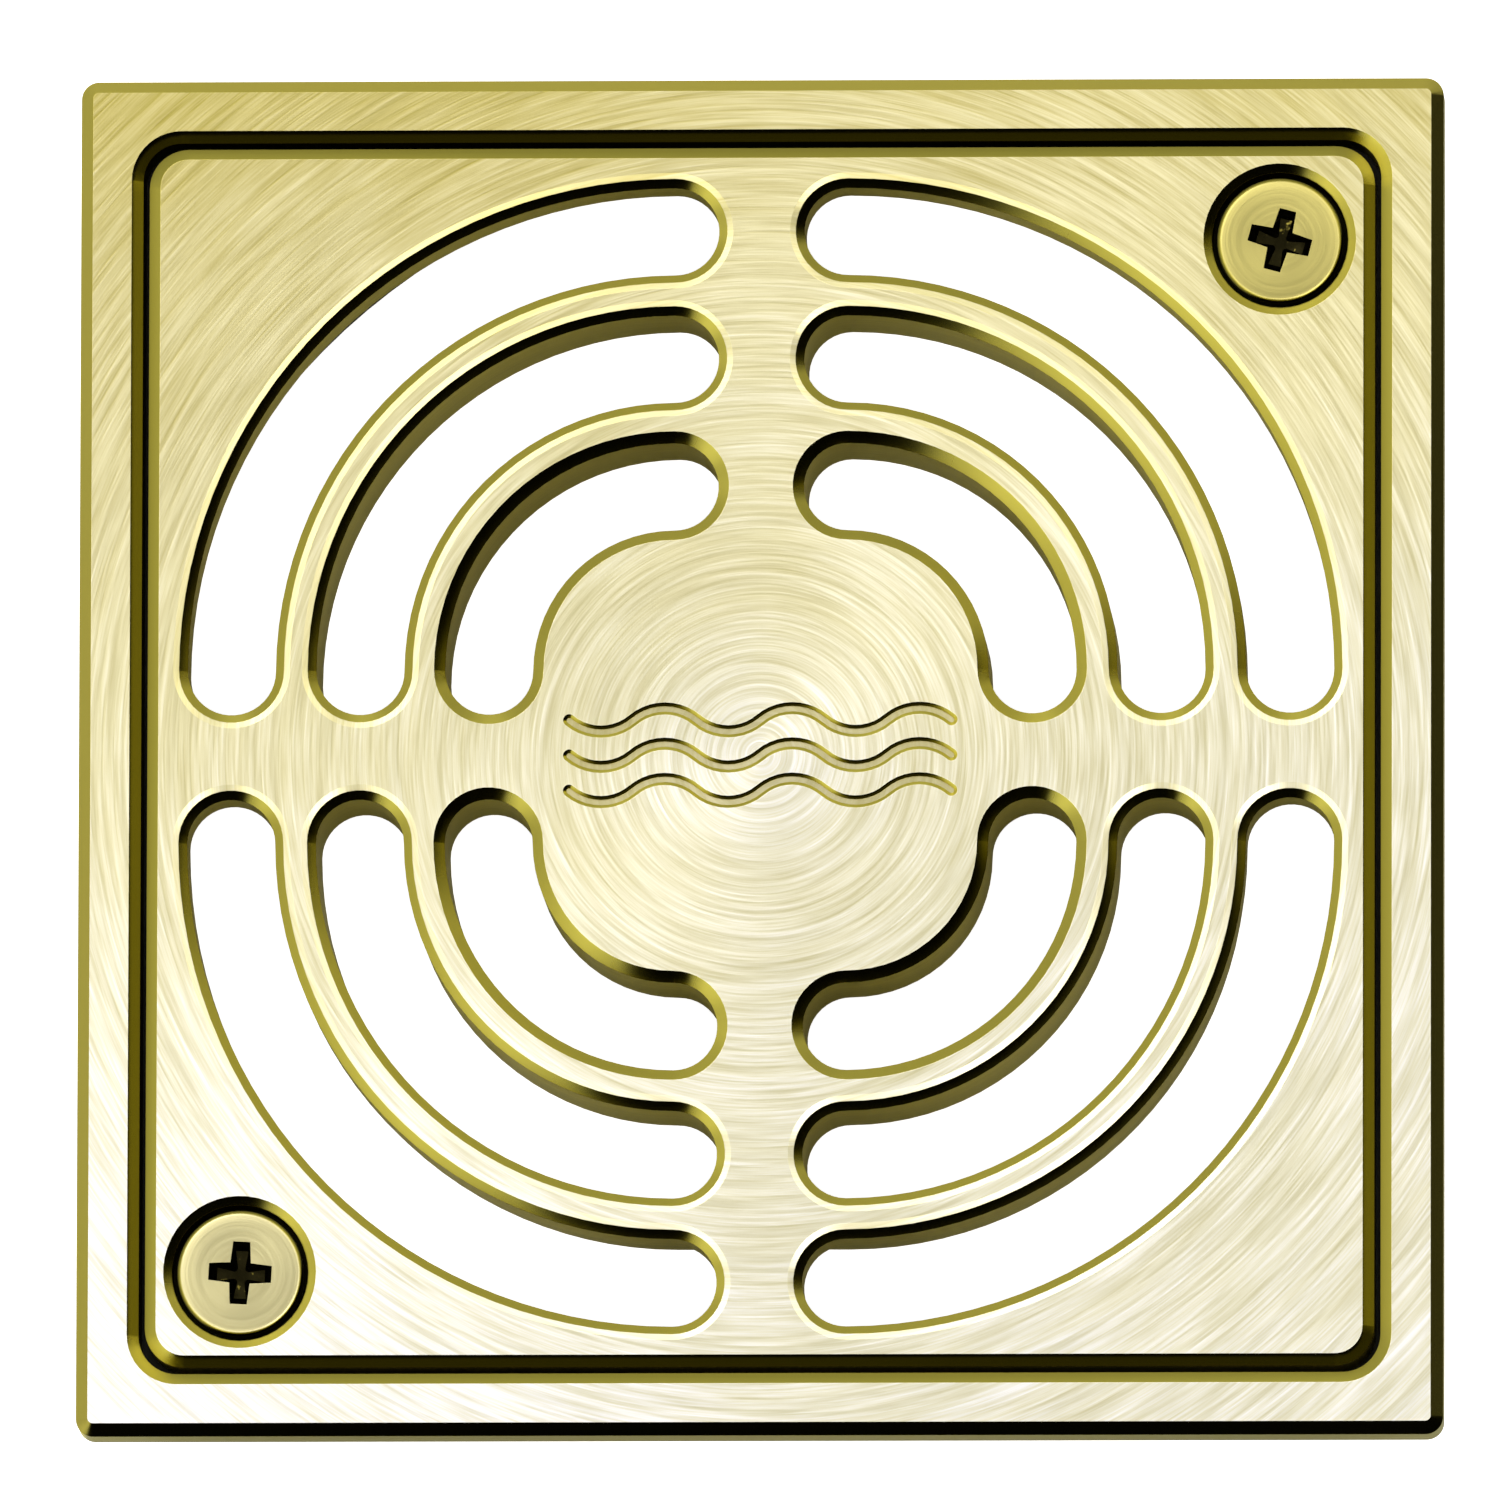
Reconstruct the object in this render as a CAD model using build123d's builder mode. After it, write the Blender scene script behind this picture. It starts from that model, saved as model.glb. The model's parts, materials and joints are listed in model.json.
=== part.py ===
from build123d import *
import os
from math import sqrt

# A square floor drain grate with its frame, screws and height adjuster.
# Millimetres, +Z up. The origin is the middle of the underside of the base gasket.

os.makedirs("parts", exist_ok=True)

# ---- Plan sizes -------------------------------------------------------------
frame_width = 100.0
frame_corner_radius = 1.3
frame_outer_chamfer = 0.9
opening_width = 90.84
opening_corner_radius = 2.8
opening_chamfer = 0.83
edge_break = 0.3

grate_gap = 0.45
grate_width = opening_width - 2 * grate_gap
grate_corner_radius = 2.9
grate_chamfer = 0.84

slot_center_offset = 6.35
slot_width = 6.44
slot_radii = (13.56, 23.0, 32.43)
rib_setback = 0.25
slot_chamfer = 0.8
slot_sweep = 90.0

screw_offset = 38.0
carrier_screw_spacing = 93.2
foot_hole_spacing = 86.0

# ---- Heights, from the bottom up ---------------------------------------------
base_gasket_thickness = 1.0
foot_thickness = 2.0
base_ring_height = 6.0
collar_flange_thickness = 1.5
slip_ring_thickness = 0.5
carrier_thickness = 2.5
pad_thickness = 0.5
frame_height = 5.0
rib_depth = 10.0

base_ring_bottom = base_gasket_thickness
foot_top = base_ring_bottom + foot_thickness
base_ring_top = base_ring_bottom + base_ring_height
collar_top = base_ring_top + collar_flange_thickness
carrier_bottom = collar_top + slip_ring_thickness
carrier_top = carrier_bottom + carrier_thickness
frame_bottom = carrier_top + pad_thickness
frame_top = frame_bottom + frame_height
rib_bottom = frame_top - rib_depth

# ---- Round throat: carrier skirt, collar and base ring run inside each other ----
skirt_inner_radius = 45.5
skirt_outer_radius = 46.1
running_gap = 0.05
collar_inner_radius = skirt_outer_radius + running_gap
collar_outer_radius = 47.55
collar_flange_radius = 49.1
base_ring_inner_radius = collar_outer_radius + running_gap
base_ring_outer_radius = 48.8
foot_width = 96.8
foot_corner_radius = 6.0
skirt_bottom = carrier_bottom - 3.0
collar_bottom = base_ring_bottom + 0.2

# ---- Grate screws, M4 --------------------------------------------------------
screw_radius = 1.95
screw_head_radius = 4.65
screw_head_height = 2.2
screw_head_fillet = 0.45
screw_head_recess = 0.6
screw_length = 10.0
screw_tip_chamfer = 0.5
screw_recess_span = 4.6
screw_recess_arm = 1.2
screw_recess_depth = 1.5
washer_thickness = 0.6
washer_inner_radius = 2.1
counterbore_radius = 5.0
counterbore_chamfer = 0.6
clearance_radius = 2.3

screw_head_top = frame_top - screw_head_recess
screw_head_bottom = screw_head_top - screw_head_height
washer_bottom = screw_head_bottom - washer_thickness
counterbore_depth = frame_top - washer_bottom

# Names of the two screwed corners, with the turn of each cross recess.
screwed_corners = {"ne": (1, 1, -15.0), "sw": (-1, -1, -3.0)}
screw_places = [(sx * screw_offset, sy * screw_offset) for sx, sy, turn in screwed_corners.values()]
all_corners = {"ne": (1, 1), "nw": (-1, 1), "se": (1, -1), "sw": (-1, -1)}


recess_core_share = 0.42
recess_taper = 14.0


def cross_recess(plane, span, arm_width, depth, turn, centers):
    """Cuts a Phillips recess, narrowing downwards, below the plane at each center."""
    core_width = recess_core_share * span
    with BuildSketch(plane) as recess:
        with Locations(*centers):
            Rectangle(span, arm_width, rotation=turn)
            Rectangle(arm_width, span, rotation=turn)
            Rectangle(core_width, core_width, rotation=turn + 45)
    extrude(recess.sketch, amount=-depth, taper=recess_taper, mode=Mode.SUBTRACT)


def save(piece, name):
    """Labels a finished piece and writes it as its own STEP file."""
    piece.label = name
    export_step(piece, "parts/" + name + ".step")


# ---- Grate: plate with twelve arc slots, deeper ribs, hub and spokes ----------
slot_outer_reach = slot_center_offset + slot_radii[-1] + slot_width / 2
rib_reach = slot_center_offset + slot_radii[-1] - slot_width / 2 - rib_setback
wave_length = 28.0
wave_halves = 6
wave_step = wave_length / wave_halves
wave_sagitta = 0.85
wave_row_spacing = 2.6
groove_floor_width = 0.4
groove_depth = 0.35
groove_side_chamfer = 0.25

with BuildPart() as grate:
    with BuildSketch(Plane.XY.offset(frame_bottom)):
        RectangleRounded(grate_width, grate_width, grate_corner_radius)
    extrude(amount=frame_height)
    with BuildSketch(Plane.XY.offset(rib_bottom)):
        RectangleRounded(2 * rib_reach, 2 * rib_reach, rib_reach - slot_center_offset)
    extrude(amount=frame_bottom - rib_bottom)
    with BuildSketch(Plane.XY.offset(rib_bottom)):
        with PolarLocations(slot_center_offset * sqrt(2), 4, start_angle=45):
            for slot_radius in slot_radii:
                SlotArc(CenterArc((0, 0), slot_radius, -slot_sweep / 2, slot_sweep), slot_width)
    extrude(amount=rib_depth, mode=Mode.SUBTRACT)
    with Locations(*[(x, y, frame_top) for x, y in screw_places]):
        CounterBoreHole(clearance_radius, counterbore_radius, counterbore_depth)
    top_face = grate.faces().sort_by(Axis.Z)[-1]
    chamfer(top_face.outer_wire().edges(), grate_chamfer)
    top_face = grate.faces().sort_by(Axis.Z)[-1]
    slot_edges = [edge for wire in top_face.inner_wires() for edge in wire.edges() if len(wire.edges()) > 1]
    chamfer(slot_edges, slot_chamfer)
    top_face = grate.faces().sort_by(Axis.Z)[-1]
    bore_edges = [edge for wire in top_face.inner_wires() for edge in wire.edges() if len(wire.edges()) == 1]
    chamfer(bore_edges, counterbore_chamfer)

    # Engraved water sign in the middle: three wavy lines with sloping sides.
    for row_y in (-wave_row_spacing, 0, wave_row_spacing):
        with BuildLine(mode=Mode.PRIVATE) as wave:
            for half in range(wave_halves):
                start_x = half * wave_step - wave_length / 2
                rise = wave_sagitta if half % 2 else -wave_sagitta
                SagittaArc((start_x, row_y), (start_x + wave_step, row_y), rise)
        with BuildSketch(Plane.XY.offset(frame_top)):
            SlotArc(wave.wire(), groove_floor_width)
        extrude(amount=-groove_depth, mode=Mode.SUBTRACT)
    top_face = grate.faces().sort_by(Axis.Z)[-1]
    groove_wires = [wire for wire in top_face.inner_wires() if wire.bounding_box().size.X > wave_length]
    chamfer([edge for wire in groove_wires for edge in wire.edges()], groove_side_chamfer)
save(grate.part, "grate")

# ---- Frame: bevelled square rim, screwed to the carrier from below -------------
carrier_screw_radius = 1.25
carrier_screw_length = 6.0
carrier_screw_top = carrier_bottom + carrier_screw_length
thread_gap = 0.03
drill_point_space = 0.1

with BuildPart() as frame:
    with BuildSketch(Plane.XY.offset(frame_bottom)):
        RectangleRounded(frame_width, frame_width, frame_corner_radius)
        RectangleRounded(opening_width, opening_width, opening_corner_radius, mode=Mode.SUBTRACT)
    extrude(amount=frame_height)
    top_face = frame.faces().sort_by(Axis.Z)[-1]
    chamfer(top_face.outer_wire().edges(), frame_outer_chamfer)
    top_face = frame.faces().sort_by(Axis.Z)[-1]
    chamfer(top_face.inner_wires()[0].edges(), opening_chamfer)
    bottom_face = frame.faces().sort_by(Axis.Z)[0]
    chamfer(bottom_face.outer_wire().edges(), edge_break)
    with BuildSketch(Plane.XY.offset(frame_bottom)):
        with GridLocations(carrier_screw_spacing, carrier_screw_spacing, 2, 2):
            Circle(carrier_screw_radius + thread_gap)
    extrude(amount=carrier_screw_top - frame_bottom + drill_point_space, mode=Mode.SUBTRACT)
save(frame.part, "frame")

# ---- Frame gasket: flat square seal between frame and carrier ------------------
carrier_width = 98.6
carrier_corner_radius = 2.0
carrier_hole_radius = 1.4
gasket_outer_width = carrier_width - 0.8
gasket_opening = opening_width + 0.6

with BuildPart() as frame_gasket:
    with BuildSketch(Plane.XY.offset(carrier_top)):
        RectangleRounded(gasket_outer_width, gasket_outer_width, carrier_corner_radius)
        RectangleRounded(gasket_opening, gasket_opening, opening_corner_radius, mode=Mode.SUBTRACT)
        with GridLocations(carrier_screw_spacing, carrier_screw_spacing, 2, 2):
            Circle(carrier_hole_radius, mode=Mode.SUBTRACT)
    extrude(amount=pad_thickness)
save(frame_gasket.part, "frame_gasket")

# ---- Carrier: moulded ledge under the grate, round skirt and two screw bosses ---
ledge_clearance = 0.5
ledge_opening = 2 * (slot_outer_reach + ledge_clearance)
ledge_corner_radius = ledge_opening / 2 - slot_center_offset
boss_radius = 4.3
boss_bottom = foot_top + 0.7
insert_radius = 3.0
insert_length = 6.5
insert_bottom = carrier_top - insert_length
wire_radius = 0.25
wire_level = skirt_bottom + 0.8
wire_slack = 0.04
skirt_groove_radius = skirt_outer_radius - wire_radius - wire_slack

with BuildPart() as carrier:
    with BuildSketch(Plane.XY.offset(carrier_bottom)):
        RectangleRounded(carrier_width, carrier_width, carrier_corner_radius)
        RectangleRounded(ledge_opening, ledge_opening, ledge_corner_radius, mode=Mode.SUBTRACT)
        with GridLocations(carrier_screw_spacing, carrier_screw_spacing, 2, 2):
            Circle(carrier_hole_radius, mode=Mode.SUBTRACT)
    extrude(amount=carrier_thickness)
    with BuildSketch(Plane.XY.offset(skirt_bottom)):
        Circle(skirt_outer_radius)
        Circle(skirt_inner_radius, mode=Mode.SUBTRACT)
    extrude(amount=carrier_bottom - skirt_bottom)
    with BuildSketch(Plane.XY.offset(boss_bottom)):
        with Locations(*screw_places):
            Circle(boss_radius)
    extrude(amount=carrier_bottom - boss_bottom)
    with BuildSketch(Plane.XY.offset(boss_bottom)):
        with Locations(*screw_places):
            Circle(clearance_radius)
    extrude(amount=carrier_top - boss_bottom, mode=Mode.SUBTRACT)
    with BuildSketch(Plane.XY.offset(insert_bottom)):
        with Locations(*screw_places):
            Circle(insert_radius)
    extrude(amount=insert_length, mode=Mode.SUBTRACT)
    with BuildSketch(Plane.XY.offset(wire_level)):
        Circle(skirt_outer_radius)
        Circle(skirt_groove_radius, mode=Mode.SUBTRACT)
    extrude(amount=wire_radius + wire_slack, both=True, mode=Mode.SUBTRACT)
save(carrier.part, "carrier")

# ---- Carrier screws: four M2.5 pan heads from below -----------------------------
carrier_head_radius = 2.3
carrier_head_height = 1.5
carrier_head_fillet = 0.5
carrier_recess_span = 2.4
carrier_recess_arm = 0.7
carrier_recess_depth = 0.9
corner_offset = carrier_screw_spacing / 2
corner_places = [(sx * corner_offset, sy * corner_offset) for sx, sy in all_corners.values()]

with BuildPart() as carrier_screws:
    with BuildSketch(Plane.XY.offset(carrier_bottom - carrier_head_height)):
        with Locations(*corner_places):
            Circle(carrier_head_radius)
    extrude(amount=carrier_head_height)
    fillet(carrier_screws.edges().group_by(Axis.Z)[0], carrier_head_fillet)
    with BuildSketch(Plane.XY.offset(carrier_bottom)):
        with Locations(*corner_places):
            Circle(carrier_screw_radius)
    extrude(amount=carrier_screw_length)
    head_plane = Plane(origin=(0, 0, carrier_bottom - carrier_head_height), z_dir=(0, 0, -1))
    cross_recess(head_plane, carrier_recess_span, carrier_recess_arm, carrier_recess_depth, 0, corner_places)
save(carrier_screws.part, "carrier_screws")

# ---- Threaded inserts, grate screws and their washers ----------------------------
for corner, (sx, sy, cross_turn) in screwed_corners.items():
    place = (sx * screw_offset, sy * screw_offset)

    with BuildPart() as insert:
        with BuildSketch(Plane.XY.offset(insert_bottom)):
            with Locations(place):
                Circle(insert_radius)
                Circle(screw_radius + running_gap, mode=Mode.SUBTRACT)
        extrude(amount=insert_length)
    save(insert.part, "insert_" + corner)

    with BuildPart() as grate_screw:
        with BuildSketch(Plane.XY.offset(screw_head_bottom)):
            with Locations(place):
                Circle(screw_head_radius)
        extrude(amount=screw_head_height)
        fillet(grate_screw.edges().group_by(Axis.Z)[-1], screw_head_fillet)
        with BuildSketch(Plane.XY.offset(screw_head_bottom - screw_length)):
            with Locations(place):
                Circle(screw_radius)
        extrude(amount=screw_length)
        chamfer(grate_screw.edges().group_by(Axis.Z)[0], screw_tip_chamfer)
        head_plane = Plane.XY.offset(screw_head_top)
        cross_recess(head_plane, screw_recess_span, screw_recess_arm, screw_recess_depth, cross_turn, [place])
    save(grate_screw.part, "grate_screw_" + corner)

    with BuildPart() as screw_washer:
        with BuildSketch(Plane.XY.offset(washer_bottom)):
            with Locations(place):
                Circle(screw_head_radius)
                Circle(washer_inner_radius, mode=Mode.SUBTRACT)
        extrude(amount=washer_thickness)
    save(screw_washer.part, "screw_washer_" + corner)

# ---- Rubber cushions under the four corners of the grate --------------------------
cushion_outer_radius = 5.0
cushion_inner_radius = 2.6

for corner, (sx, sy) in all_corners.items():
    with BuildPart() as cushion:
        with BuildSketch(Plane.XY.offset(carrier_top)):
            with Locations((sx * screw_offset, sy * screw_offset)):
                Circle(cushion_outer_radius)
                Circle(cushion_inner_radius, mode=Mode.SUBTRACT)
        extrude(amount=pad_thickness)
    save(cushion.part, "cushion_" + corner)

# ---- Slip ring: lets the collar turn under the carrier -----------------------------
slip_ring_outer_radius = collar_flange_radius - 0.3
slip_ring_inner_radius = collar_inner_radius + 0.15

with BuildPart() as slip_ring:
    with BuildSketch(Plane.XY.offset(collar_top)):
        Circle(slip_ring_outer_radius)
        Circle(slip_ring_inner_radius, mode=Mode.SUBTRACT)
    extrude(amount=slip_ring_thickness)
save(slip_ring.part, "slip_ring")

# ---- Retaining ring: split wire that keeps the carrier on the collar ----------------
ring_gap_angle = 8.0

with BuildPart() as retaining_ring:
    with BuildLine(Plane.XY.offset(wire_level)) as wire_path:
        CenterArc((0, 0), skirt_outer_radius, ring_gap_angle / 2, 360 - ring_gap_angle)
    with BuildSketch(Plane(origin=wire_path.line @ 0, z_dir=wire_path.line % 0)):
        Circle(wire_radius)
    sweep()
save(retaining_ring.part, "retaining_ring")

# ---- Adjusting collar: screws up and down in the base ring --------------------------
notch_count = 12
notch_width = 5.0
notch_depth = 1.1
collar_groove_radius = skirt_outer_radius + wire_radius + 2 * wire_slack

with BuildPart() as adjusting_collar:
    with BuildSketch(Plane.XY.offset(base_ring_top)):
        Circle(collar_flange_radius)
        with PolarLocations(collar_flange_radius, notch_count):
            Rectangle(2 * notch_depth, notch_width, mode=Mode.SUBTRACT)
    extrude(amount=collar_flange_thickness)
    with BuildSketch(Plane.XY.offset(collar_bottom)):
        Circle(collar_outer_radius)
    extrude(amount=base_ring_top - collar_bottom)
    chamfer(adjusting_collar.edges().group_by(Axis.Z)[0], edge_break)
    with BuildSketch(Plane.XY.offset(collar_bottom)):
        Circle(collar_inner_radius)
    extrude(amount=collar_top - collar_bottom, mode=Mode.SUBTRACT)
    with BuildSketch(Plane.XY.offset(wire_level)):
        Circle(collar_groove_radius)
        Circle(skirt_inner_radius, mode=Mode.SUBTRACT)
    extrude(amount=wire_radius + 2 * wire_slack, both=True, mode=Mode.SUBTRACT)
save(adjusting_collar.part, "adjusting_collar")

# ---- Base ring: threaded wall on a square foot that is screwed down ------------------
foot_hole_radius = 2.25
foot_sink_radius = 4.1

with BuildPart() as base_ring:
    with BuildSketch(Plane.XY.offset(base_ring_bottom)):
        RectangleRounded(foot_width, foot_width, foot_corner_radius)
    extrude(amount=foot_thickness)
    with BuildSketch(Plane.XY.offset(foot_top)):
        Circle(base_ring_outer_radius)
    extrude(amount=base_ring_top - foot_top)
    with BuildSketch(Plane.XY.offset(base_ring_bottom)):
        Circle(base_ring_inner_radius)
    extrude(amount=base_ring_height, mode=Mode.SUBTRACT)
    half_spacing = foot_hole_spacing / 2
    with Locations(*[(sx * half_spacing, sy * half_spacing, foot_top) for sx, sy in all_corners.values()]):
        CounterSinkHole(foot_hole_radius, foot_sink_radius, counter_sink_angle=90)
save(base_ring.part, "base_ring")

# ---- Base gasket: rubber sheet under the foot ----------------------------------------
base_gasket_width = foot_width - 0.4
gasket_hole_radius = foot_hole_radius + 0.15

with BuildPart() as base_gasket:
    with BuildSketch():
        RectangleRounded(base_gasket_width, base_gasket_width, foot_corner_radius)
        Circle(collar_inner_radius, mode=Mode.SUBTRACT)
        with GridLocations(foot_hole_spacing, foot_hole_spacing, 2, 2):
            Circle(gasket_hole_radius, mode=Mode.SUBTRACT)
    extrude(amount=base_gasket_thickness)
save(base_gasket.part, "base_gasket")
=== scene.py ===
"""Looks of a square floor drain grate: brushed brass grate and frame, screws, seals and height adjuster."""

import json
import math

import bmesh
import bpy
from mathutils import Matrix, Vector


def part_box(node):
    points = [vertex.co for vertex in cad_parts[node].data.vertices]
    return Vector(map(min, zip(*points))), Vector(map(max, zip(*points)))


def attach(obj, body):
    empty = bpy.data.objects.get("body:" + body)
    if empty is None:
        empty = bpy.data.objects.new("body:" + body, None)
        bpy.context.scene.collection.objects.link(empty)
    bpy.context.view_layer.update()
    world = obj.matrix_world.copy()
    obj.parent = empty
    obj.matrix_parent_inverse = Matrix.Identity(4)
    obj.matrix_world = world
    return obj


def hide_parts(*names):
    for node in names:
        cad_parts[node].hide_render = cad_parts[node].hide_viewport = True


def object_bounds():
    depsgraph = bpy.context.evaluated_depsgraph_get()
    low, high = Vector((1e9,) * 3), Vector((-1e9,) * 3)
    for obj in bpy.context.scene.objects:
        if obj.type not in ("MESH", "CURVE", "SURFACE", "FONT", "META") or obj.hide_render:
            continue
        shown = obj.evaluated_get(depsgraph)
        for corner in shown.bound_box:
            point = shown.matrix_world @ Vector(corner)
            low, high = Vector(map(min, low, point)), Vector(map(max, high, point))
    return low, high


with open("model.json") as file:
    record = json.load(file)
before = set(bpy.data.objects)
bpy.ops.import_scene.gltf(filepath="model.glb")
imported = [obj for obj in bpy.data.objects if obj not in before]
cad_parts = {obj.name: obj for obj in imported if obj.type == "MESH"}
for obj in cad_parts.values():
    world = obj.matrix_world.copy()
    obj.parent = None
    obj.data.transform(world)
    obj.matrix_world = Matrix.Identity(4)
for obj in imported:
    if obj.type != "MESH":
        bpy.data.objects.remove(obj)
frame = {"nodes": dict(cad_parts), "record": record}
cad_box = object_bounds()
scene = bpy.context.scene
scene.view_settings.view_transform = "Standard"

MM = 0.001
TOP = cad_box[1].z
EDGE_ROUND = 0.06 * MM
SCREW_CORNERS = ("ne", "sw")
SCREW_PLACES = ((38.0 * MM, 38.0 * MM), (-38.0 * MM, -38.0 * MM))


# ---------------------------------------------------------------- camera

# The camera looks almost straight down with a very long lens, leaning a little to the near right.
VIEW_WIDTH = 0.11030
LENS_MM = 1000.0
SENSOR_MM = 36.0
LEAN_Y = math.radians(7.2)
LEAN_X = math.radians(2.4)
AIM = Vector((-0.00049, 0.00011, TOP))


def look_from(back, location):
    """A camera matrix that looks against `back`, with both side directions turned as little as possible."""
    right = (Vector((1, 0, 0)) - back * back.x).normalized()
    up = (Vector((0, 1, 0)) - back * back.y).normalized()
    diagonal = (right + up).normalized()
    other = back.cross(diagonal)
    right = (diagonal - other).normalized()
    up = back.cross(right)
    return Matrix((
        (right.x, up.x, back.x, location.x),
        (right.y, up.y, back.y, location.y),
        (right.z, up.z, back.z, location.z),
        (0, 0, 0, 1),
    ))


def add_camera():
    data = bpy.data.cameras.new("camera")
    data.lens = LENS_MM
    data.sensor_width = SENSOR_MM
    data.clip_end = 50.0
    camera = bpy.data.objects.new("camera", data)
    scene.collection.objects.link(camera)
    back = Vector((math.tan(LEAN_X), -math.tan(LEAN_Y), 1.0)).normalized()
    camera.matrix_world = look_from(back, AIM + back * (VIEW_WIDTH * LENS_MM / SENSOR_MM))
    scene.camera = camera


# ---------------------------------------------------------------- shader building

class Shader:
    """A material's node tree, with short calls that add nodes and link them."""

    def __init__(self, name):
        self.material = bpy.data.materials.new(name)
        self.material.use_nodes = True
        self.tree = self.material.node_tree
        self.surface = self.tree.nodes["Principled BSDF"]

    def node(self, kind, **settings):
        made = self.tree.nodes.new(kind)
        for key, value in settings.items():
            setattr(made, key, value)
        return made

    def feed(self, socket, value):
        """Links value to a socket if it is one, and otherwise sets it."""
        if isinstance(value, bpy.types.NodeSocket):
            self.tree.links.new(value, socket)
        elif isinstance(value, tuple) and len(value) == 3 and socket.type == "RGBA":
            socket.default_value = (*value, 1.0)
        else:
            socket.default_value = value

    def math(self, operation, *values):
        made = self.node("ShaderNodeMath", operation=operation)
        for socket, value in zip(made.inputs, values):
            self.feed(socket, value)
        return made.outputs[0]

    def plus(self, first, second):
        return self.math("ADD", first, second)

    def minus(self, first, second):
        return self.math("SUBTRACT", first, second)

    def times(self, first, second):
        return self.math("MULTIPLY", first, second)

    def span(self, value, low, high, to_low=0.0, to_high=1.0):
        """Smoothly maps low..high onto to_low..to_high."""
        made = self.node("ShaderNodeMapRange", interpolation_type="SMOOTHSTEP")
        self.feed(made.inputs["Value"], value)
        self.feed(made.inputs["From Min"], low)
        self.feed(made.inputs["From Max"], high)
        self.feed(made.inputs["To Min"], to_low)
        self.feed(made.inputs["To Max"], to_high)
        return made.outputs[0]

    def mix(self, share, first, second):
        made = self.node("ShaderNodeMix", data_type="RGBA")
        self.feed(made.inputs[0], share)
        self.feed(made.inputs[6], first)
        self.feed(made.inputs[7], second)
        return made.outputs[2]

    def ramp(self, share, stops):
        """The colour at `share` between stops of (place, colour)."""
        made = self.node("ShaderNodeValToRGB")
        self.feed(made.inputs[0], share)
        for index, (place, color) in enumerate(stops):
            stop = made.color_ramp.elements[index] if index < 2 else made.color_ramp.elements.new(place)
            stop.position = place
            stop.color = (*color, 1)
        return made.outputs[0]

    def noise(self, vector, scale, detail=2.0, roughness=0.5):
        made = self.node("ShaderNodeTexNoise")
        self.feed(made.inputs["Vector"], vector)
        self.feed(made.inputs["Scale"], scale)
        self.feed(made.inputs["Detail"], detail)
        self.feed(made.inputs["Roughness"], roughness)
        return made.outputs[0]

    def place(self):
        """The point on the piece, in metres, in the shared frame at rest."""
        return self.node("ShaderNodeTexCoord").outputs["Object"]

    def combine(self, x, y, z):
        made = self.node("ShaderNodeCombineXYZ")
        for socket, value in zip(made.inputs, (x, y, z)):
            self.feed(socket, value)
        return made.outputs[0]

    def split(self, vector):
        made = self.node("ShaderNodeSeparateXYZ")
        self.feed(made.inputs[0], vector)
        return made.outputs

    def bump(self, height, distance, strength=1.0, rounding=0.0):
        """Bumps the surface, and with `rounding` also lets edges of about that radius catch the light."""
        made = self.node("ShaderNodeBump")
        if rounding:
            soft = self.node("ShaderNodeBevel", samples=6)
            self.feed(soft.inputs["Radius"], rounding)
            self.feed(made.inputs["Normal"], soft.outputs[0])
        self.feed(made.inputs["Height"], height)
        self.feed(made.inputs["Distance"], distance)
        self.feed(made.inputs["Strength"], strength)
        self.feed(self.surface.inputs["Normal"], made.outputs[0])

    def set(self, **values):
        for key, value in values.items():
            self.feed(self.surface.inputs[key.replace("_", " ")], value)


def ring_place(shader, center, along, across):
    """A noise position that changes slowly round `center` and quickly outwards, so noise becomes brush marks.

    `along` and `across` are in noise cells per metre.
    """
    x, y, z = shader.split(shader.place())
    x = shader.minus(x, center[0])
    y = shader.minus(y, center[1])
    radius = distance(shader, x, y)
    vector = shader.combine(shader.times(x, along), shader.times(y, along), shader.times(radius, across))
    return vector, radius


def distance(shader, x, y):
    """How far the offset (x, y) reaches."""
    return shader.math("SQRT", shader.plus(shader.times(x, x), shader.times(y, y)))


def side_lines(shader, along, across):
    """Noise in level lines round upright walls. `along` and `across` are in noise cells per metre."""
    x, y, z = shader.split(shader.place())
    vector = shader.combine(shader.times(x, along), shader.times(y, along), shader.times(z, across))
    return shader.noise(vector, 1.0, 2.0, 0.6)


def weighted(shader, *pairs):
    """The sum of value times weight over the pairs."""
    total = shader.times(*pairs[0])
    for value, weight in pairs[1:]:
        total = shader.plus(total, shader.times(value, weight))
    return total


# ---------------------------------------------------------------- materials

# Painted shade: the near black put on bevels and walls that face the near right, deep down the walls and
# inside the counterbores.
PAINTED_SHADE_BLACK = (0.012, 0.011, 0.003)
# Painted shade: the deeper colour of the frame's outer bevels.
OUTER_BEVEL_SHADE = (0.36, 0.31, 0.05)
GROOVE_FLOOR_TONE = (0.50, 0.44, 0.17)
CAST_TONES = ((0.10, 0.09, 0.03), (0.24, 0.20, 0.06))
WALL_SHADE = 0.78
TONE_SPREAD = 1.25
BRASS_GRAZING_TINT = (0.82, 0.77, 0.36)


def facings(shader):
    """Shares of facing up, standing upright, facing down, and facing the near right, where bevels and walls
    get painted shade.
    """
    x, y, z = shader.split(shader.node("ShaderNodeNewGeometry").outputs["Normal"])
    up = shader.span(z, 0.80, 0.97)
    upright = shader.span(shader.math("ABSOLUTE", z), 0.25, 0.6, 1.0, 0.0)
    down = shader.span(z, -0.3, -0.6)
    # The share of facing the near right, which later gets painted shade.
    darker = shader.span(weighted(shader, (x, 0.62), (y, -0.86)), 0.16, 0.58)
    return up, upright, down, darker


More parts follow.
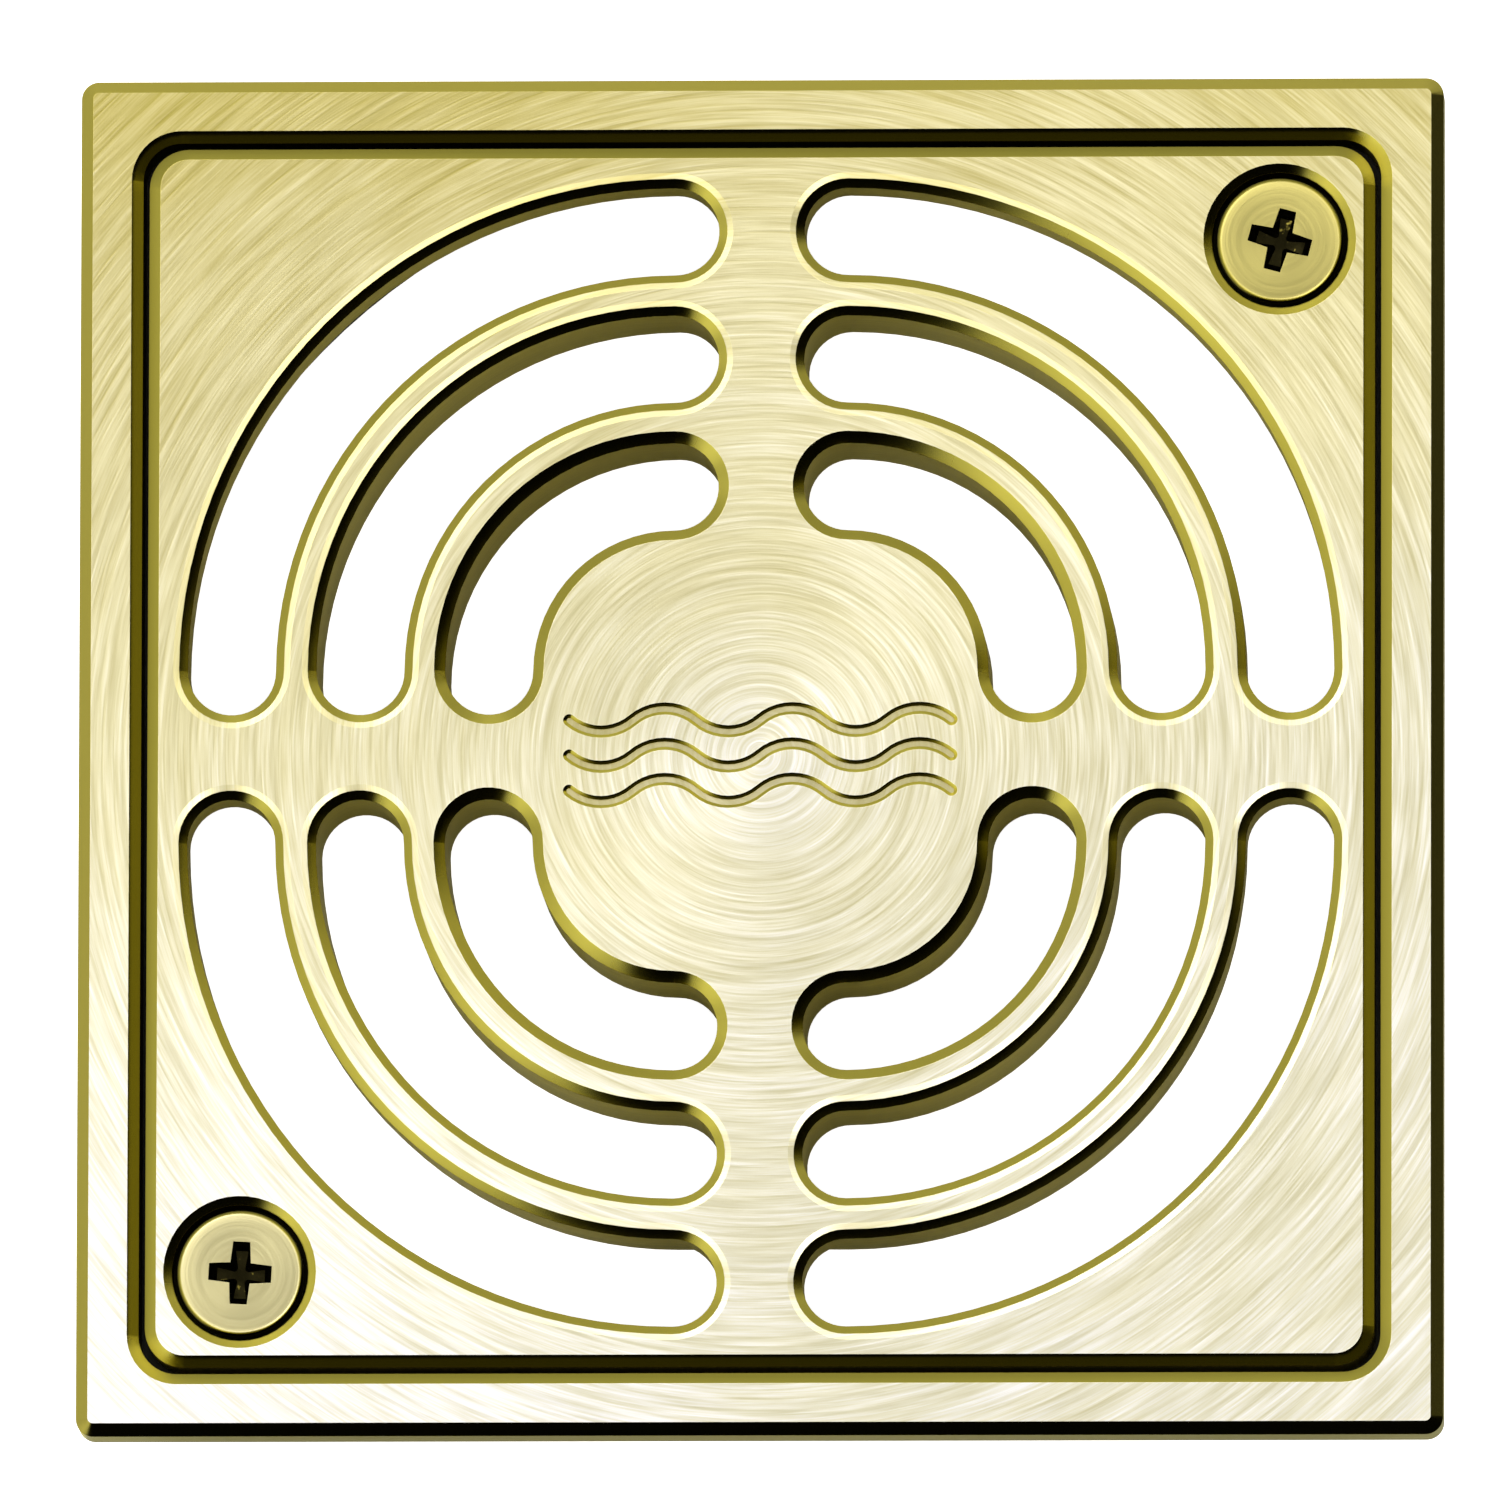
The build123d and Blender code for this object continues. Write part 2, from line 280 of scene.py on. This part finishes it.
def brush_marks(shader, center):
    """Brush streaks, the streaks with broad patches added, the patches, and the distance from `center`."""
    fine_place, radius = ring_place(shader, center, 200.0, 8200.0)
    fine = shader.noise(fine_place, 1.0, 2.0, 0.6)
    middle = shader.noise(ring_place(shader, center, 100.0, 3300.0)[0], 1.0, 2.0, 0.6)
    broad = shader.noise(ring_place(shader, center, 60.0, 900.0)[0], 1.0, 2.0, 0.5)
    blotch = shader.noise(shader.place(), 90.0, 3.0, 0.6)
    streak = weighted(shader, (fine, 0.45), (middle, 0.55))
    tone = weighted(shader, (streak, 0.70), (broad, 0.18), (blotch, 0.12))
    return streak, tone, blotch, radius


def edge_tone(shader, x, y, edge, darker, near_right_bevel_shade):
    """The bevels' colour, with painted shade: deeper round the outside of the frame, and near black towards
    the near right.
    """
    outmost = shader.math("MAXIMUM", shader.math("ABSOLUTE", x), shader.math("ABSOLUTE", y))
    outside = shader.span(outmost, 48.6 * MM, 49.0 * MM)
    color = shader.mix(outside, edge, OUTER_BEVEL_SHADE)
    # Painted shade: bevels that face the near right turn near black.
    return shader.mix(shader.times(darker, near_right_bevel_shade), color, PAINTED_SHADE_BLACK)


def wall_tone(shader, z, wall, lines, darker, near_right_wall_shade):
    """The upright walls' colour: finely lined, with painted shade that darkens it with depth and towards the
    near right.
    """
    shaded = tuple(WALL_SHADE * part for part in wall)
    color = shader.mix(shader.span(lines, 0.3, 0.7), shaded, wall)
    # Painted shade: the walls darken deeper down.
    painted_depth_shade = shader.span(z, TOP - 1.0 * MM, TOP - 9.0 * MM, 0.0, 0.38)
    color = shader.mix(painted_depth_shade, color, PAINTED_SHADE_BLACK)
    # Painted shade: walls that face the near right turn near black.
    return shader.mix(shader.times(darker, near_right_wall_shade), color, PAINTED_SHADE_BLACK)


def brushed_brass(name, center, tones, edge, wall, near_right_bevel_shade, painted_light_map, near_right_wall_shade=0.0, bores=True):
    """Brass brushed in rings about `center` on its flat top, with painted light on the top, and smoother,
    deeper-coloured edges and walls with painted shade.

    The map function of (shader, x, y, radius) gives the flat top's share of painted light before the brush
    marks: pale for painted highlight, golden for painted shade.
    Two numbers set the painted shade: how dark it makes the bevels that face the near right, and the same for
    upright walls.
    """
    shader = Shader(name)
    x, y, z = shader.split(shader.place())
    up, upright, down, darker = facings(shader)
    streak, tone, blotch, radius = brush_marks(shader, center)
    lines = side_lines(shader, 90.0, 6000.0)

    marked = shader.times(shader.minus(tone, 0.5), TONE_SPREAD)
    # Painted light: the top's colour runs from golden painted shade to pale painted highlight, set by the
    # painted light share plus the brush marks.
    top = shader.ramp(shader.plus(painted_light_map(shader, x, y, radius), marked), tones)
    # The floors of engraved lines are coloured darker and browner.
    sunk = shader.span(z, TOP - 0.12 * MM, TOP - 0.30 * MM)
    top = shader.mix(shader.times(sunk, 0.75), top, GROOVE_FLOOR_TONE)
    side = shader.mix(upright, edge_tone(shader, x, y, edge, darker, near_right_bevel_shade),
                      wall_tone(shader, z, wall, lines, darker, near_right_wall_shade))
    color = shader.mix(down, shader.mix(up, side, top), shader.mix(blotch, *CAST_TONES))
    # Painted shade: the counterbores' walls below their bevels turn near black.
    for screw_x, screw_y in SCREW_PLACES if bores else ():
        color = shader.mix(in_bore(shader, x, y, z, screw_x, screw_y), color, PAINTED_SHADE_BLACK)

    not_up = shader.minus(1.0, up)
    # Bevels that don't face the near right, and so get no painted shade, are a little dull, so that they keep
    # their gold in dark surroundings.
    dull = shader.times(shader.minus(1.0, darker), shader.minus(not_up, upright))
    rough_top = shader.span(streak, 0.3, 0.7, 0.32, 0.42)
    rough_edge = shader.span(darker, 0.0, 0.8, 0.40, 0.16)
    rough_side = shader.math("MAXIMUM", rough_edge, shader.times(upright, 0.32))
    shader.set(Base_Color=color, Metallic=shader.span(dull, 0.0, 1.0, 1.0, 0.68),
               Roughness=weighted(shader, (rough_top, up), (rough_side, not_up)),
               Anisotropic=0.45, Specular_Tint=BRASS_GRAZING_TINT)
    tangent = shader.node("ShaderNodeTangent", direction_type="RADIAL", axis="Z")
    shader.feed(shader.surface.inputs["Tangent"], tangent.outputs[0])
    shader.bump(weighted(shader, (streak, up), (lines, upright)), 0.00003, 0.5, EDGE_ROUND)
    return shader.material


def in_bore(shader, x, y, z, screw_x, screw_y):
    """1 inside a screw's counterbore, below its bevel, and 0 elsewhere."""
    radius = distance(shader, shader.minus(x, screw_x), shader.minus(y, screw_y))
    near = shader.span(radius, 5.3 * MM, 5.1 * MM)
    low = shader.span(z, TOP - 0.45 * MM, TOP - 0.75 * MM)
    return shader.times(near, low)


# Patches of painted light on the plate, paler (painted highlight) or more golden (painted shade): the x and
# the y, in millimetres, between which the patch comes up to its full strength, and what it adds to the
# painted light share.
PAINTED_LIGHT_PATCHES = (
    ((18.0, 45.0), (5.0, 38.0), -0.20),
    ((10.0, -30.0), (-5.0, -35.0), 0.08),
    ((5.0, 35.0), (-10.0, -35.0), -0.02),
)


def painted_plate_light(shader, x, y, radius):
    """Painted light: painted highlight palest at the near left and in the turned middle, painted shade most
    golden at the far left.
    """
    # Painted light: paler towards the right, the near side and the near-left to far-right diagonal, more
    # golden far away.
    far = shader.math("DIVIDE", shader.math("MAXIMUM", y, 0.0), 45.0 * MM)
    right = shader.math("MAXIMUM", x, 0.0)
    slope = weighted(shader, (right, 3.2), (y, -4.1), (shader.times(x, y), 45.0),
                     (shader.math("POWER", far, 4.0), -0.12))
    share = shader.plus(0.62, slope)
    # Painted highlight: paler towards the middle, and a pale spot on the turned middle.
    share = shader.plus(share, shader.span(radius, 42.0 * MM, 10.0 * MM, 0.0, 0.06))
    share = shader.plus(share, shader.span(radius, 13.0 * MM, 0.0, 0.0, 0.20))
    for (x_from, x_to), (y_from, y_to), amount in PAINTED_LIGHT_PATCHES:
        patch = shader.times(shader.span(x, x_from * MM, x_to * MM), shader.span(y, y_from * MM, y_to * MM))
        share = shader.plus(share, shader.times(patch, amount))
    # Painted highlight: paler along the far spoke.
    aside = shader.math("ABSOLUTE", x)
    far_spoke = shader.times(shader.span(aside, 16.0 * MM, 4.0 * MM), shader.span(y, 14.0 * MM, 30.0 * MM))
    return shader.plus(share, shader.times(far_spoke, 0.10))


def even_tone(shader, x, y, radius):
    """The same share everywhere."""
    return 0.5


def plain_metal(name, color, dark, roughness):
    """Machined or drawn metal with fine turning marks, level on its walls, and dull patches."""
    shader = Shader(name)
    normal = shader.split(shader.node("ShaderNodeNewGeometry").outputs["Normal"])
    level = shader.span(shader.math("ABSOLUTE", normal[2]), 0.6, 0.9)
    rings = shader.noise(ring_place(shader, (0, 0), 120.0, 3800.0)[0], 1.0, 3.0, 0.6)
    lines = side_lines(shader, 60.0, 4200.0)
    marks = weighted(shader, (rings, level), (lines, shader.minus(1.0, level)))
    blotch = shader.noise(shader.place(), 140.0, 4.0, 0.6)
    tone = weighted(shader, (marks, 0.4), (blotch, 0.6))
    shader.set(Base_Color=shader.mix(shader.span(tone, 0.35, 0.65), dark, color), Metallic=1.0,
               Roughness=shader.span(blotch, 0.3, 0.7, roughness - 0.06, roughness + 0.08))
    shader.bump(marks, 0.00002, 0.4)
    return shader.material


def moulded(name, color, lighter, roughness, grain_scale, grain_depth):
    """Plastic or rubber with a fine moulded grain and faint tone changes."""
    shader = Shader(name)
    grain = shader.noise(shader.place(), grain_scale, 2.0, 0.6)
    patch = shader.noise(shader.place(), 110.0, 3.0, 0.6)
    shader.set(Base_Color=shader.mix(shader.span(patch, 0.3, 0.7), color, lighter), Metallic=0.0,
               Roughness=shader.span(patch, 0.3, 0.7, roughness - 0.05, roughness + 0.07))
    shader.bump(grain, grain_depth, 0.6)
    return shader.material


def recess_black(name):
    """The inside of a driver recess: painted shade near black, with a few painted glints of brass."""
    shader = Shader(name)
    glints_and_wear = shader.noise(shader.place(), 1500.0, 2.0, 0.6)
    # Painted shade near black, with painted glints of brass where the noise is high.
    color = shader.mix(shader.span(glints_and_wear, 0.62, 0.80), (0.014, 0.012, 0.004), (0.45, 0.37, 0.07))
    rough = shader.span(glints_and_wear, 0.3, 0.7, 0.52, 0.30)
    # Painted shade: a dark grazing tint keeps the recess from reflecting.
    shader.set(Base_Color=color, Metallic=1.0, Roughness=rough, Specular_Tint=(0.1, 0.09, 0.05))
    shader.bump(glints_and_wear, 0.00004, 0.6)
    return shader.material


# Colours of the flat brushed top, from golden painted shade through the brass's own colour to pale painted
# highlight: share and colour.
PLATE_LIGHT_TONES = (
    (0.0, (0.50, 0.42, 0.09)),
    (0.25, (0.63, 0.55, 0.22)),
    (0.6, (0.80, 0.74, 0.45)),
    (0.8, (0.90, 0.86, 0.66)),
    (1.0, (0.99, 0.975, 0.955)),
)
# Painted light on the screw heads: the ne head's colours are painted shaded and golden, the sw head's painted
# lit and pale.
HEAD_LIGHT_TONES = {
    "ne": ((0.0, (0.50, 0.43, 0.03)), (1.0, (0.88, 0.76, 0.18))),
    "sw": ((0.0, (0.90, 0.80, 0.46)), (1.0, (1.0, 1.0, 0.84))),
}
BRASS_SIDES = {"edge": (0.62, 0.55, 0.09), "wall": (0.62, 0.55, 0.16)}


def make_materials():
    made = {
        "satin_brass": brushed_brass("satin_brass", (0, 0), PLATE_LIGHT_TONES, near_right_bevel_shade=0.97, painted_light_map=painted_plate_light,
                                     **BRASS_SIDES),
        # The frame's brass also paints shade near black on its walls that face the near right.
        "rim_brass": brushed_brass("rim_brass", (0, 0), PLATE_LIGHT_TONES, near_right_bevel_shade=0.97, painted_light_map=painted_plate_light,
                                   near_right_wall_shade=0.97, **BRASS_SIDES),
        "recess_black": recess_black("recess_black"),
        "insert_brass": plain_metal("insert_brass", (0.72, 0.55, 0.20), (0.55, 0.40, 0.13), 0.30),
        "cast_brass": plain_metal("cast_brass", (0.60, 0.49, 0.20), (0.46, 0.37, 0.14), 0.36),
        "stainless": plain_metal("stainless", (0.68, 0.67, 0.64), (0.48, 0.47, 0.45), 0.26),
        "black_plastic": moulded("black_plastic", (0.012, 0.012, 0.013), (0.026, 0.026, 0.027),
                                 0.46, 5200.0, 0.00004),
        "nylon": moulded("nylon", (0.66, 0.62, 0.50), (0.78, 0.75, 0.64), 0.42, 3000.0, 0.00002),
        "seal_rubber": moulded("seal_rubber", (0.010, 0.010, 0.010), (0.022, 0.021, 0.020),
                               0.62, 4200.0, 0.00003),
    }
    # Each screw gets its own copy of the brass, painted lit or shaded.
    for corner, place in zip(SCREW_CORNERS, SCREW_PLACES):
        name = "screw_brass_" + corner
        made[name] = brushed_brass(name, place, HEAD_LIGHT_TONES[corner], bores=False, near_right_bevel_shade=0.6,
                                   painted_light_map=even_tone, **BRASS_SIDES)
    return made


# ---------------------------------------------------------------- floor, surroundings and lights

FLOOR_HALF = 4.0
FLOOR_GAP = 0.02 * MM
FLOOR_TILES = 0.86
FLOOR_GLOW = 0.93


def add_floor():
    """A plain floor that the camera sees close to white, and that lights the object as a pale floor does."""
    mesh = bpy.data.meshes.new("floor")
    corners = [(x * FLOOR_HALF, y * FLOOR_HALF, 0) for x, y in ((-1, -1), (1, -1), (1, 1), (-1, 1))]
    mesh.from_pydata(corners, [], [(0, 1, 2, 3)])
    floor = bpy.data.objects.new("floor", mesh)
    floor.location.z = -FLOOR_GAP
    scene.collection.objects.link(floor)
    shader = Shader("floor")
    shader.set(Base_Color=(FLOOR_TILES, FLOOR_TILES, FLOOR_TILES), Roughness=0.9)
    path = shader.node("ShaderNodeLightPath")
    glow = shader.times(path.outputs["Is Camera Ray"], FLOOR_GLOW)
    shader.feed(shader.surface.inputs["Emission Color"], (1.0, 1.0, 1.0))
    shader.feed(shader.surface.inputs["Emission Strength"], glow)
    floor.data.materials.append(shader.material)


# Height (sine of elevation) and brightness of the surroundings: dark near the horizon, bright overhead.
SKY_STOPS = ((0.0, 0.02), (0.25, 0.03), (0.45, 0.10), (0.80, 0.33), (1.0, 0.50))
# Reflector cards round the object: direction, outer and inner angle in degrees, brightness.
CARDS = (
    ((-0.72, -0.70, 0.22), 26.0, 12.0, 1.6),
    ((-1.0, 0.15, 0.55), 30.0, 12.0, 0.9),
    ((-0.2, 1.0, 0.60), 34.0, 14.0, 1.2),
)


def add_world():
    """Studio surroundings for lighting and reflection. The camera itself sees a plain white backdrop."""
    world = bpy.data.worlds.new("world")
    world.use_nodes = True
    tree = world.node_tree
    background = tree.nodes["Background"]

    def node(kind, **settings):
        made = tree.nodes.new(kind)
        for key, value in settings.items():
            setattr(made, key, value)
        return made

    direction = node("ShaderNodeTexCoord").outputs["Generated"]
    parts = node("ShaderNodeSeparateXYZ")
    tree.links.new(direction, parts.inputs[0])
    ramp = node("ShaderNodeValToRGB")
    tree.links.new(parts.outputs[2], ramp.inputs[0])
    for index, (place, value) in enumerate(SKY_STOPS):
        stop = ramp.color_ramp.elements[index] if index < 2 else ramp.color_ramp.elements.new(place)
        stop.position = place
        stop.color = (value, value, value, 1)
    total = ramp.outputs[0]
    for aim, outer, inner, brightness in CARDS:
        dot = node("ShaderNodeVectorMath", operation="DOT_PRODUCT")
        tree.links.new(direction, dot.inputs[0])
        dot.inputs[1].default_value = Vector(aim).normalized()
        shape = node("ShaderNodeMapRange", interpolation_type="SMOOTHSTEP")
        tree.links.new(dot.outputs["Value"], shape.inputs["Value"])
        shape.inputs["From Min"].default_value = math.cos(math.radians(outer))
        shape.inputs["From Max"].default_value = math.cos(math.radians(inner))
        shape.inputs["To Max"].default_value = brightness
        both = node("ShaderNodeVectorMath", operation="ADD")
        tree.links.new(total, both.inputs[0])
        tree.links.new(shape.outputs[0], both.inputs[1])
        total = both.outputs[0]
    path = node("ShaderNodeLightPath")
    mix = node("ShaderNodeMix", data_type="RGBA")
    tree.links.new(path.outputs["Is Camera Ray"], mix.inputs[0])
    tree.links.new(total, mix.inputs[6])
    mix.inputs[7].default_value = (1, 1, 1, 1)
    tree.links.new(mix.outputs[2], background.inputs[0])
    scene.world = world


# Softboxes: name, place, watts. All face the object.
SOFTBOXES = (
    ("far_left", (-0.34, 0.34, 0.60), 2.05),
    ("near_right", (0.34, -0.34, 0.60), 2.54),
    ("near_left", (-0.34, -0.34, 0.60), 1.6),
    ("far_right", (0.34, 0.34, 0.60), 1.38),
)
SOFTBOX_WIDTH = 0.5
SOFTBOX_COLOR = (1.0, 0.98, 0.94)


def add_softbox(name, location, watts):
    """A square softbox that lights the object and doesn't show itself to the camera."""
    data = bpy.data.lights.new(name, "AREA")
    data.shape = "SQUARE"
    data.size = SOFTBOX_WIDTH
    data.energy = watts
    data.color = SOFTBOX_COLOR
    box = bpy.data.objects.new(name, data)
    box.location = location
    box.rotation_euler = (-box.location).to_track_quat("-Z", "Y").to_euler()
    box.visible_camera = False
    scene.collection.objects.link(box)


# ---------------------------------------------------------------- screws

SCREW_PITCH = 0.7 * MM
SCREW_THREAD_DEPTH = 0.36 * MM
HEAD_SEGMENTS = 96
MERGE_DISTANCE = 1e-8
CROSS_TURNS = {"ne": math.radians(-15.0), "sw": math.radians(-3.0)}
# The driver recess from the top down: height over the head, reach of the arms, half width of the arms, core.
CROSS_LEVELS = (
    (0.40 * MM, 2.30 * MM, 0.62 * MM, 0.76 * MM),
    (-0.25 * MM, 2.30 * MM, 0.62 * MM, 0.74 * MM),
    (-1.35 * MM, 1.75 * MM, 0.46 * MM, 0.60 * MM),
    (-1.75 * MM, 0.50 * MM, 0.26 * MM, 0.34 * MM),
)
HEAD_HEIGHT = 2.2 * MM
HEAD_FOOT_ROUND = 0.05 * MM
HEAD_SHOULDER_DROP = 0.62 * MM
HEAD_SHOULDER_ROUND = 0.42 * MM
HEAD_SHOULDER_RISE = 0.55 * MM
HEAD_SHOULDER_STEPS = 6
SHANK_RADIUS = 1.95 * MM
SHANK_OVERLAP = 0.2 * MM


def mesh_object(name, verts, faces):
    mesh = bpy.data.meshes.new(name)
    mesh.from_pydata(verts, [], faces)
    mesh.validate()
    piece = bpy.data.objects.new(name, mesh)
    scene.collection.objects.link(piece)
    return piece


def lathe(profile, segments, center):
    """Verts and faces of a closed turned form. `profile` is (radius, z) from one end to the other."""
    verts = [(center[0], center[1], profile[0][1])]
    for radius, z in profile[1:-1]:
        for j in range(segments):
            angle = 2 * math.pi * j / segments
            verts.append((center[0] + radius * math.cos(angle), center[1] + radius * math.sin(angle), z))
    verts.append((center[0], center[1], profile[-1][1]))
    faces = []
    rings = len(profile) - 2
    for j in range(segments):
        after = (j + 1) % segments
        faces.append((0, 1 + after, 1 + j))
        for i in range(rings - 1):
            low, high = 1 + i * segments, 1 + (i + 1) * segments
            faces.append((low + j, low + after, high + after, high + j))
        last = 1 + (rings - 1) * segments
        faces.append((last + j, last + after, len(verts) - 1))
    return verts, faces


def threaded_rod(center, outer, depth, pitch, low, high, segments=48, rows=8):
    """Verts and faces of a rod with a helical thread that fades out at both ends. Rows follow the helix."""
    # How far the thread stands out at each row of one pitch.
    crest = (0.0, 0.15, 0.6, 1.0, 1.0, 1.0, 0.6, 0.15)
    turns = math.ceil((high - low) / pitch)
    total = (turns + 1) * rows + 1
    verts = []
    for i in range(total):
        for j in range(segments + 1):
            angle = 2 * math.pi * j / segments
            z = low + pitch * (i / rows - 1 + j / segments)
            z = min(max(z, low), high)
            fade = min(1.0, (z - low) / pitch, (high - z) / (0.6 * pitch))
            radius = outer - depth + depth * crest[i % rows] * fade
            verts.append((center[0] + radius * math.cos(angle), center[1] + radius * math.sin(angle), z))
    faces = []
    for i in range(total - 1):
        for j in range(segments):
            a = i * (segments + 1) + j
            faces.append((a, a + 1, a + segments + 2, a + segments + 1))
    return verts, faces


def close_up(piece, distance):
    """Merges doubled points, drops collapsed faces, closes open ends and turns all faces outwards."""
    work = bmesh.new()
    work.from_mesh(piece.data)
    bmesh.ops.remove_doubles(work, verts=work.verts, dist=distance)
    bmesh.ops.dissolve_degenerate(work, edges=work.edges, dist=distance)
    open_edges = [edge for edge in work.edges if len(edge.link_faces) == 1]
    bmesh.ops.holes_fill(work, edges=open_edges, sides=0)
    bmesh.ops.recalc_face_normals(work, faces=work.faces)
    work.to_mesh(piece.data)
    work.free()


def cross_cutter(center, top, turn):
    """A Phillips driver tip: four flared arms that narrow downwards round a pointed core."""
    verts = []
    for height, reach, arm, core in CROSS_LEVELS:
        for quarter in range(4):
            spin = turn + quarter * math.pi / 2
            for along, across in ((reach, -arm), (reach, arm), (core, core)):
                x = center[0] + along * math.cos(spin) - across * math.sin(spin)
                y = center[1] + along * math.sin(spin) + across * math.cos(spin)
                verts.append((x, y, top + height))
    count = len(verts) // len(CROSS_LEVELS)
    faces = []
    for start in range(0, len(verts) - count, count):
        for j in range(count):
            after = (j + 1) % count
            faces.append((start + j, start + after, start + count + after, start + count + j))
    faces.append(tuple(range(count)))
    faces.append(tuple(reversed(range(len(verts) - count, len(verts)))))
    return mesh_object("cutter", verts, faces)


def bake_modifiers(piece):
    """Replaces the piece's own mesh by what its modifiers make of it."""
    bpy.context.view_layer.update()
    done = bpy.data.meshes.new_from_object(piece.evaluated_get(bpy.context.evaluated_depsgraph_get()))
    piece.modifiers.clear()
    piece.data = done


def smooth_by_angle(piece, degrees):
    """Smooth shading with sharp edges where faces meet at more than this angle."""
    work = bmesh.new()
    work.from_mesh(piece.data)
    for face in work.faces:
        face.smooth = True
    for edge in work.edges:
        edge.smooth = len(edge.link_faces) == 2 and edge.calc_face_angle(0) < math.radians(degrees)
    work.to_mesh(piece.data)
    work.free()


def head_profile(radius, top):
    """Half the section of a low pan head, from the middle of its underside to the middle of its top."""
    under = top - HEAD_HEIGHT
    shoulder = top - HEAD_SHOULDER_DROP
    profile = [
        (0, under),
        (radius - HEAD_FOOT_ROUND, under),
        (radius, under + HEAD_FOOT_ROUND),
        (radius, shoulder),
    ]
    for step in range(1, HEAD_SHOULDER_STEPS + 1):
        bend = step / HEAD_SHOULDER_STEPS * math.pi / 2
        inward = HEAD_SHOULDER_ROUND * (1 - math.cos(bend))
        profile.append((radius - inward, shoulder + HEAD_SHOULDER_RISE * math.sin(bend)))
    profile += [(radius - 0.95 * MM, top - 0.02 * MM), (radius - 1.5 * MM, top), (0, top)]
    return profile


def make_head(name, center, radius, top, turn, head_material, recess_material):
    """The screw's head, with the cross cut into it."""
    head = mesh_object(name, *lathe(head_profile(radius, top), HEAD_SEGMENTS, center))
    close_up(head, MERGE_DISTANCE)
    head.data.materials.append(head_material)
    cutter = cross_cutter(center, top, turn)
    close_up(cutter, MERGE_DISTANCE)
    cutter.data.materials.append(recess_material)
    cut = head.modifiers.new("cut", "BOOLEAN")
    cut.operation = "DIFFERENCE"
    cut.object = cutter
    cut.solver = "EXACT"
    cut.material_mode = "TRANSFER"
    bake_modifiers(head)
    bpy.data.objects.remove(cutter)
    smooth_by_angle(head, 35)
    return head


def make_rod(name, center, low, high, material):
    """The screw's threaded shank."""
    rod = mesh_object(name, *threaded_rod(center, SHANK_RADIUS, SCREW_THREAD_DEPTH, SCREW_PITCH, low, high))
    close_up(rod, MERGE_DISTANCE)
    rod.data.materials.append(material)
    smooth_by_angle(rod, 50)
    return rod


def make_screw(corner, center, body):
    """A low pan head with a Phillips recess on a threaded shank, in the place of the CAD screw."""
    node = "grate_screw_" + corner
    material = materials["screw_brass_" + corner]
    low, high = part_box(node)
    head = make_head(node + "_head", center, (high.x - low.x) / 2, high.z, CROSS_TURNS[corner],
                     material, materials["recess_black"])
    rod = make_rod(node + "_rod", center, low.z, high.z - HEAD_HEIGHT + SHANK_OVERLAP, material)
    join = bmesh.new()
    join.from_mesh(head.data)
    join.from_mesh(rod.data)
    join.to_mesh(head.data)
    join.free()
    bpy.data.objects.remove(rod)
    head.name = "screw_" + corner
    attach(head, body)
    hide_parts(node)


# ---------------------------------------------------------------- the scene

add_camera()
add_world()
add_floor()
for box_name, box_place, box_watts in SOFTBOXES:
    add_softbox(box_name, box_place, box_watts)

materials = make_materials()
for screw_corner, screw_place in zip(SCREW_CORNERS, SCREW_PLACES):
    make_screw(screw_corner, screw_place, "screw_" + screw_corner)
# The CAD screws are replaced above, so what is left in their slot is the inserts.
SLOT_MATERIALS = {"screw_brass": "insert_brass"}
for entry in frame["record"]["subparts"]:
    node = entry["node"]
    slot = entry["material_slot"]
    piece = frame["nodes"][node]
    chosen = materials[SLOT_MATERIALS.get(slot, slot)]
    if node.startswith("grate_screw"):
        chosen = materials["screw_brass_" + node[-2:]]
    if node == "frame":
        chosen = materials["rim_brass"]
    piece.data.materials.clear()
    piece.data.materials.append(chosen)
